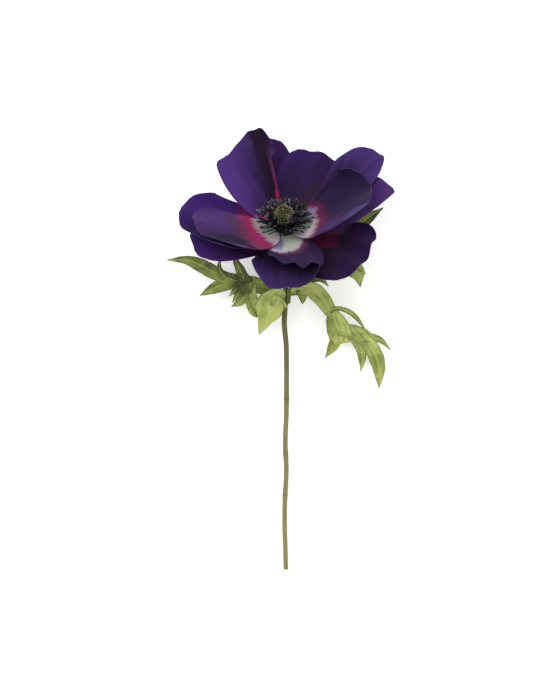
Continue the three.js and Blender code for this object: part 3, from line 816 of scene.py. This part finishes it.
def stamenTree(paint):
    growth = Growth("stamenGrowth")
    count = growth.input("Count", "NodeSocketInt")
    foot, bend, tip = (growth.input(name, "NodeSocketVector") for name in ("Foot", "Bend", "Tip"))
    names = ("Filament Radius", "Anther Length", "Anther Width")
    thin, length, width = (growth.input(name) for name in names)
    scatter = growth.input("Scatter")
    seed = growth.input("Seed", "NodeSocketInt")

    sockets = {"Resolution": 7, "Start": foot, "Middle": bend, "End": tip}
    curve = growth.node("GeometryNodeCurveQuadraticBezier", sockets)
    ring = growth.node("GeometryNodeCurvePrimitiveCircle", {"Resolution": 5, "Radius": thin})
    sockets = {"Curve": curve, "Profile Curve": ring, "Fill Caps": True}
    filament = growth.store(growth.node("GeometryNodeCurveToMesh", sockets), "anther", 0.0)

    # two lobes side by side, set on the filament's end
    ball = growth.node("GeometryNodeMeshUVSphere", {"Segments": 6, "Rings": 5, "Radius": 0.5})
    girth = growth.vector(width * 0.62, width * 0.8, length)
    lobes = []
    for side in (-1, 1):
        aside = growth.vector(width * 0.24 * side, 0.0, 0.0)
        sockets = {"Geometry": ball, "Scale": girth, "Translation": aside}
        lobes.append(growth.node("GeometryNodeTransform", sockets))
    sockets = {"Geometry": growth.join(*lobes), "Rotation": growth.facing(bend, tip), "Translation": tip}
    anther = growth.store(growth.node("GeometryNodeTransform", sockets), "anther", 1.0)

    points = growth.node("GeometryNodePoints", {"Count": count})
    place = growth.node("GeometryNodeInputIndex") + 0.5 + growth.scatter(-0.3, 0.3, seed)
    turn = growth.vector(
        growth.scatter(-1, 1, seed + 1) * scatter,
        growth.scatter(-1, 1, seed + 2) * scatter,
        place / count * (2 * math.pi),
    )
    size = growth.scatter(0.9, 1.06, seed + 3)
    ringOfThem = growth.plant(points, growth.join(filament, anther), turn, size, seed + 4)
    return growth.end(growth.join(growth.given, ringOfThem), paint)


def radial(pair):
    return (pair[0] * mm, 0.0, pair[1] * mm)


black = stamenPaint()
vertices, faces = turned(stamens["band"], stamens["bandSides"])
stamenRing = makePiece("stamenRing", vertices, faces, Matrix(), {"anther": [0.0] * len(vertices)}, black)
tree = stamenTree(black)
for seed, ring in enumerate(stamens["rings"]):
    grow(stamenRing, tree, {
        "Count": ring["count"], "Foot": radial(stamens["foot"]), "Bend": radial(ring["bend"]),
        "Tip": radial(ring["tip"]), "Filament Radius": stamens["filament"] * mm,
        "Anther Length": stamens["antherLength"] * mm, "Anther Width": stamens["antherWidth"] * mm,
        "Scatter": math.radians(stamens["scatter"]), "Seed": 10 * seed + 1,
    })
settle(stamenRing, bloomPlace)
handOver(stamenRing, "stamens")
print("stamens:", sum(ring["count"] for ring in stamens["rings"]))


# Each bract: the stretch of the stem's girth that it holds, in degrees with 0 at +X and 90 up, and its lobes:
# the points of the midrib, half the width at even steps along it, and how pale the lobe is
# a lobe's paleness is partly its own tone and partly painted shade: lobes that lie in shade are given less
bracts = {
    "bract_left": {
        "clasp": (92, 205),
        "lobes": [
            ([(-1.2, -31.5, 12.6), (-10.5, -28, 13.5), (-17.5, -26.5, 14.5), (-29, -23.5, 15),
              (-40.5, -17.5, 12), (-47, -15, 8), (-57, -14.5, 0.2)],
             (1.5, 3.2, 4, 3.6, 3, 3.4, 3.2, 2.4, 1.3, 0.3), 0.38),
            ([(-28, -24, 15), (-31, -19.5, 17), (-30.5, -14.5, 17.5)], (2, 1.4, 0.3), 0.2),
            ([(-18.5, -26, 14.5), (-21, -20, 17), (-23, -15.5, 19), (-22, -10, 20)],
             (3.4, 2.6, 2, 1.2, 0.3), 0.12),
            ([(-22, -25.5, 15), (-30.5, -27.5, 13.5), (-35.5, -29.5, 10), (-41, -32, 4)],
             (2.6, 3.2, 2.8, 1.7, 0.3), 0.3),
            ([(-20, -25.5, 15), (-23.5, -29.5, 13), (-26.5, -32.5, 9)], (1.8, 1.4, 0.3), 0.2),
            ([(-18.5, -26, 14.5), (-22, -31, 12), (-25, -35.5, 7)], (1.8, 1.5, 0.3), 0.35),
            ([(-16.5, -26.5, 14.5), (-18.5, -31.5, 14), (-21, -35, 12), (-25.5, -37.5, 8)],
             (2.4, 2.7, 2, 0.3), 0.45),
            ([(-16, -27, 14.5), (-16, -32.5, 15), (-14, -38.5, 14), (-10, -43, 11)],
             (2.6, 3, 3.4, 3, 0.6), 0.75),
            ([(0.2, -31.2, 14.2), (-3.5, -32.5, 15.6), (-6.5, -37, 16.3), (-8, -41, 15),
              (-9.5, -45, 13), (-12, -51, 9)],
             (2, 4.2, 6.6, 6.2, 3.6, 2, 0.4), 0.95),
            ([(-5.5, -34, 16), (-1.5, -36, 15.8), (2, -38, 14.4)], (2.6, 2.2, 0.4), 0.85),
        ],
    },
    "bract_right": {
        "clasp": (-20, 80),
        "lobes": [
            ([(2.9, -31, 13), (7.5, -29.5, 15), (13, -29.5, 15.5), (18, -33.5, 15), (21.5, -38.5, 13.5),
              (24, -42, 12.6)],
             (1.6, 2.8, 3.8, 4.1, 3.6, 2.6), 0.85),
            ([(8, -29.5, 15), (9, -32.5, 14.5), (9, -36.5, 12)], (2.4, 2, 0.3), 0.5),
            ([(23, -39.5, 12.9), (25, -45, 12), (27, -50.5, 10.5), (28, -55.5, 9)],
             (2.6, 4.4, 5.6, 5.4, 3.8), 0.8),
            ([(26.5, -51, 10.4), (23.5, -57, 8), (20, -62.5, 5)], (3, 2.4, 0.3), 0.6),
            ([(22.5, -39.5, 13.2), (26, -38.5, 14.5), (30, -39.5, 14.5), (34, -42, 12.5), (39, -48, 8)],
             (1.1, 1.1, 1.3, 1, 0.3), 0.6),
            ([(26.5, -49, 10.8), (33, -49.5, 10.5), (38.5, -52, 9), (43, -55, 7.5)],
             (2.8, 3.4, 3.8, 2.8), 0.7),
            ([(38.5, -52, 9), (46.5, -53.5, 6.5), (52, -58.5, 2.5)], (2.4, 1.5, 0.3), 0.6),
            ([(37.5, -51.5, 9.2), (43, -58.5, 8), (46, -66.5, 5), (46.5, -77, 0.2)],
             (3, 3.7, 3.6, 2.4, 0.3), 0.75),
            ([(32, -49.5, 10.5), (37, -56.5, 8), (38, -63.5, 5), (37.5, -69, 2.2)], (2.8, 3, 2, 0.3), 0.7),
        ],
    },
    "bract_back": {
        "clasp": (215, 320),
        "lobes": [
            ([(2.4, -31.2, 9.9), (10, -24.5, 9.5), (20, -16, 11), (29.5, -5.5, 15), (37.5, 2.5, 18.5),
              (43, 6.5, 20.5), (47.5, 9.5, 21.5)],
             (1.6, 3, 4, 4.4, 4.2, 3.8, 2.8, 0.3), 0.35),
            ([(20, -16, 11), (29.5, -17, 13), (35, -21, 13), (37, -28, 10)], (3, 4.8, 4, 0.3), 0.55),
            ([(31, -17.5, 13), (36, -18.5, 13.5), (39.5, -22, 12)], (2.2, 1.8, 0.3), 0.5),
            ([(10, -24.5, 9.5), (17.5, -24, 10), (21.5, -27.5, 8)], (2, 1.8, 0.3), 0.2),
        ],
    },
}
bractMake = {
    "fold": 0.25,  # how far a lobe's sides rise from its midrib, as a share of their width
    "clasp": (0.222, 0.18),  # shares of the stem's length between which the bracts hold it
    "claspRadius": 2.0,
    "claspFlare": 0.6,  # how much wider the clasp is at the bloom's end
    "claspCells": (6, 24),  # along the stem and round it
    "lobeStep": 0.6,  # length of a lobe's cells
    "lobeCells": 10,  # across a lobe
    "thick": 0.52,
    "cell": 0.22,  # the grain at which a bract's lobes grow together
    "smoothing": (0.5, 4),  # how strongly and how often they are smoothed after that
    "sway": 0.35,
    "softening": {"rib": 1, "run": 1, "edge": 1, "tone": 6},  # how often each mark is evened out
    "pale": (172, 181, 100),
    "leaf": (122, 132, 58),
    "dark": (56, 61, 22),
    "roughness": 0.6,
}


def lobeSheet(rib, half, tone):
    make = bractMake
    path = Path(rib)
    rows = max(8, round(path.length / make["lobeStep"]))
    grid, samples = [], []
    for j in range(rows + 1):
        v = j / rows
        heading = path.heading(v)
        side = heading.cross(Vector((0, 0, 1))).normalized()
        up = side.cross(heading)
        width = max(valueAlong(half, v) * (1 + 0.08 * ripple(v * path.length / 3, tone * 9, 0)), 0.2)
        row = []
        for i in range(make["lobeCells"] + 1):
            u = 2 * i / make["lobeCells"] - 1
            lift = make["fold"] * abs(u) * width
            lift += make["sway"] * ripple(v * path.length / 6, u * 1.2, tone * 7) * abs(u)
            point = path.at(v) + side * u * width + up * lift
            row.append(point)
            samples.append((point, u * width, v * path.length, width * (1 - abs(u)), tone))
        grid.append(row)
    return grid, samples


def claspSheet(first, last):
    make = bractMake
    rows, columns = make["claspCells"]
    grid = []
    for j in range(rows + 1):
        v = j / rows
        row = []
        for i in range(columns + 1):
            angle = math.radians(lerp(first, last, i / columns))
            radius = make["claspRadius"] + make["claspFlare"] * v * v
            around = Vector((radius * math.cos(angle), 0, radius * math.sin(angle)))
            row.append(stemPath.at(lerp(*make["clasp"], v)) + around)
        grid.append(row)
    return grid, [(point, 1.0, 0.0, 1.0, 0.3) for row in grid for point in row]


def leafPaint():
    make = bractMake
    paint = Paint("leafSkin")
    rib, run, edge, tone = (paint.mark(name) for name in ("rib", "run", "edge", "tone"))
    place = paint.place()
    grain = paint.cloud(place, 900, 3, 0.6)
    patches = paint.cloud(place, 110, 2, 0.5)
    fibres = paint.cloud(paint.vector(rib * 1.8, run * 0.09, tone * 6), 1, 3, 0.6)  # lengthwise
    # one side of each midrib is darker than the other: painted shade on the side turned from the light
    mottle = tone + (patches - 0.5) * 1.5 + (grain - 0.5) * 0.4 - paint.step(rib, -0.6, 1.4) * 0.22
    colour = paint.mix(paint.step(mottle, -0.1, 0.5), make["dark"], make["leaf"])
    colour = paint.mix(paint.step(mottle, 0.35, 0.95), colour, make["pale"])
    colour = paint.mix(paint.step(fibres, 0.52, 0.36) * 0.34, colour, make["dark"])
    # darker towards the lobes' edges: painted shade
    colour = paint.mix(paint.step(edge, 0.7, 0) * 0.45, colour, make["dark"])
    away = abs(rib)
    beat = paint.maths("SINE", (run - away * 1.1) * (2 * math.pi / 2.2) + (grain - 0.5) * 2.5)
    veins = paint.step(beat, 0.6, 1) * paint.step(edge, 0.1, 0.8)
    midrib = paint.step(away, 0.5, 0.12)
    lines = paint.maths("MAXIMUM", veins * 0.4, midrib * 0.8)
    colour = paint.mix(lines * 0.55, colour, make["pale"])
    relief = grain * 0.4 + fibres * 0.6 - lines
    constants = {"Specular IOR Level": 0.3}
    return paint.finish(colour, (grain - 0.5) * 0.2 + make["roughness"], relief, 0.12, constants)


def growTogether(piece, samples):
    # the lobes become one blade, whose points then take their marks from the nearest place on a lobe
    joined = piece.modifiers.new("join", "REMESH")
    joined.mode = "VOXEL"
    joined.voxel_size = bractMake["cell"] * mm
    soft = piece.modifiers.new("soften", "SMOOTH")
    soft.factor, soft.iterations = bractMake["smoothing"]
    settle(piece)
    tree = KDTree(len(samples))
    for k, sample in enumerate(samples):
        tree.insert((stemPlace @ sample[0]) * mm, k)
    tree.balance()
    mesh = piece.data
    near = [samples[tree.find(v.co)[1]] for v in mesh.vertices]
    for v in mesh.vertices:
        v.co.z = max(v.co.z, 0)
    for k, (mark, times) in enumerate(bractMake["softening"].items(), 1):
        values = [sample[k] for sample in near]
        for _ in range(times):
            sums, counts = list(values), [1] * len(values)
            for a, b in mesh.edge_keys:
                sums[a] += values[b]
                sums[b] += values[a]
                counts[a] += 1
                counts[b] += 1
            values = [s / c for s, c in zip(sums, counts)]
        mesh.attributes.new(mark, "FLOAT", "POINT").data.foreach_set("value", values)


leafSkin = leafPaint()
for node, bract in bracts.items():
    vertices, faces, samples = [], [], []
    for grid, marks in [claspSheet(*bract["clasp"])] + [lobeSheet(*lobe) for lobe in bract["lobes"]]:
        points, quads = closedSheet(grid, [[bractMake["thick"]] * len(grid[0])] * len(grid))
        faces += [tuple(k + len(vertices) for k in quad) for quad in quads]
        vertices += points
        samples += marks
    piece = makePiece(pieceName(node), vertices, faces, stemPlace, paint=leafSkin)
    growTogether(piece, samples)
    handOver(piece, node)
print("bracts:", len(bracts))


studio = {  # sizes and places in metres
    "floor": (246, 245, 243),
    "floorShade": (225, 224, 222),
    "floorSize": 6.0,
    "floorGlow": 0.26,
    "sky": 0.95,
    "key": {"at": (-0.35, 0.45, 1.1), "size": 0.7, "power": 6.0},
    "fill": {"at": (0.7, -0.5, 0.9), "size": 0.9, "power": 3.0},
    "aim": (0, 0.03, 0.03),  # of both lights
    "camera": (0.0006, 0.0004, 0.95),
    "lens": 100,
}


def softLight(name, at, size, power):
    light = bpy.data.lights.new(name, "AREA")
    light.size = size
    light.energy = power
    lamp = putInScene(name, light)
    lamp.location = at
    aim = Vector(studio["aim"]) - lamp.location
    lamp.rotation_euler = aim.to_track_quat("-Z", "Y").to_euler()


table = Paint("paleTable")
cloth = table.cloud(table.place(), 300, 2, 0.5)
tone = table.mix(cloth * 0.06, studio["floor"], studio["floorShade"])
glow = {"Specular IOR Level": 0.1, "Emission Color": (1, 1, 1, 1), "Emission Strength": studio["floorGlow"]}
paleTable = table.finish(tone, cloth * 0.05 + 0.8, cloth, 0.01, glow)
half = studio["floorSize"] / 2
floorMesh = bpy.data.meshes.new("floor")
corners = [(-half, -half, 0), (half, -half, 0), (half, half, 0), (-half, half, 0)]
floorMesh.from_pydata(corners, [], [(0, 1, 2, 3)])
floorMesh.transform(Matrix.Translation((0, 0, -0.0001)))  # just under what lies on it
floorMesh.materials.append(paleTable)
floor = putInScene("floor", floorMesh)

softLight("keyLight", **studio["key"])
softLight("fillLight", **studio["fill"])
world = bpy.data.worlds.new("softRoom")
world.use_nodes = True
world.node_tree.nodes["Background"].inputs["Color"].default_value = (1, 1, 1, 1)
world.node_tree.nodes["Background"].inputs["Strength"].default_value = studio["sky"]
bpy.context.scene.world = world
bpy.context.scene.view_settings.view_transform = "Standard"

camera = putInScene("camera", bpy.data.cameras.new("camera"))
camera.location = studio["camera"]  # it looks straight down, with the bloom at the top
camera.data.lens = studio["lens"]
camera.data.clip_start = 0.01
bpy.context.scene.camera = camera

print("scene ready")
